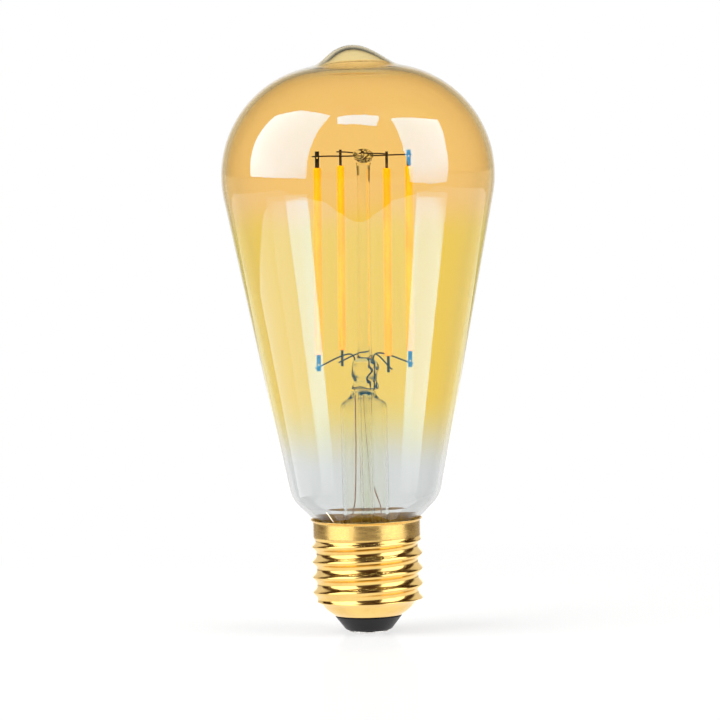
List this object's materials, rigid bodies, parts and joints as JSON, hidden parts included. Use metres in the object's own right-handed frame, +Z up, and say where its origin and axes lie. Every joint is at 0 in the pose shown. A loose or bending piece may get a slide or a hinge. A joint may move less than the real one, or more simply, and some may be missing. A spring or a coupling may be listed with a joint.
{
  "type": "smart light bulb",
  "caption": "Edison-shaped smart LED filament lamp: amber glass envelope, upright filaments on a glass stem, Edison screw cap with a driver and radio module inside.",
  "frame": {"origin": "centre of the flat bottom contact, the lowest point of the screw cap", "axes": "+Z up the lamp's axis from the cap to the glass tip; the filaments stand 26.6, 116.6, 206.6 and 296.6 degrees round from +X towards +Y"},
  "size_m": [0.0644, 0.0644, 0.1389],
  "materials": {
    "amber_glass": "clear blown glass with a golden amber coating, gloss",
    "clear_glass": "clear drawn glass, gloss",
    "phosphor_silicone": "orange-yellow phosphor in silicone, satin",
    "filament_ceramic": "white ceramic strip, matt",
    "nickel_wire": "nickel-iron wire and strip, darkened by heat",
    "copper_wire": "copper, drawn",
    "brass_cap": "polished rolled brass",
    "black_moulding": "black insulator moulding, satin",
    "nickelled_contact": "nickel-plated",
    "solder": "tin solder, bright",
    "cement": "basing cement, matt",
    "amber_film": "amber insulating film",
    "green_board": "green solder mask",
    "blue_board": "blue solder mask",
    "black_epoxy": "black epoxy, matt",
    "capacitor_sleeve": "dark shrunk sleeve",
    "black_rubber": "black rubber bung",
    "ferrite": "grey ferrite, matt",
    "beige_lacquer": "beige lacquer"
  },
  "bodies": {
    "root": {"glass_envelope": "amber_glass", "stem_tube": "clear_glass", "stem_press": "clear_glass", "pumping_tube": "clear_glass", "support_rod": "clear_glass", "rod_button": "clear_glass", "top_wire_wide": "nickel_wire", "top_wire_deep": "nickel_wire", "filament_coat_right_back": "phosphor_silicone", "filament_strip_right_back": "filament_ceramic", "filament_top_tag_right_back": "nickel_wire", "filament_bottom_tag_right_back": "nickel_wire", "bottom_wire_right_back": "nickel_wire", "filament_coat_left_back": "phosphor_silicone", "filament_strip_left_back": "filament_ceramic", "filament_top_tag_left_back": "nickel_wire", "filament_bottom_tag_left_back": "nickel_wire", "bottom_wire_left_back": "nickel_wire", "filament_coat_left_front": "phosphor_silicone", "filament_strip_left_front": "filament_ceramic", "filament_top_tag_left_front": "nickel_wire", "filament_bottom_tag_left_front": "nickel_wire", "bottom_wire_left_front": "nickel_wire", "filament_coat_right_front": "phosphor_silicone", "filament_strip_right_front": "filament_ceramic", "filament_top_tag_right_front": "nickel_wire", "filament_bottom_tag_right_front": "nickel_wire", "bottom_wire_right_front": "nickel_wire", "lead_wire_left": "copper_wire", "lead_wire_right": "copper_wire", "screw_shell": "brass_cap", "cap_insulator": "black_moulding", "contact_plate": "nickelled_contact", "contact_solder": "solder", "cap_cement": "cement", "side_contact_wire": "copper_wire", "centre_contact_wire": "copper_wire", "insulating_sleeve": "amber_film", "driver_board": "green_board", "bridge_rectifier": "black_epoxy", "led_driver_chip": "black_epoxy", "module_header": "black_epoxy", "radio_board": "blue_board", "radio_chip": "black_epoxy", "radio_crystal": "nickelled_contact", "smoothing_capacitor": "capacitor_sleeve", "capacitor_bung": "black_rubber", "choke_core": "ferrite", "choke_winding": "copper_wire", "fuse_resistor": "beige_lacquer"}
  },
  "joints": []
}
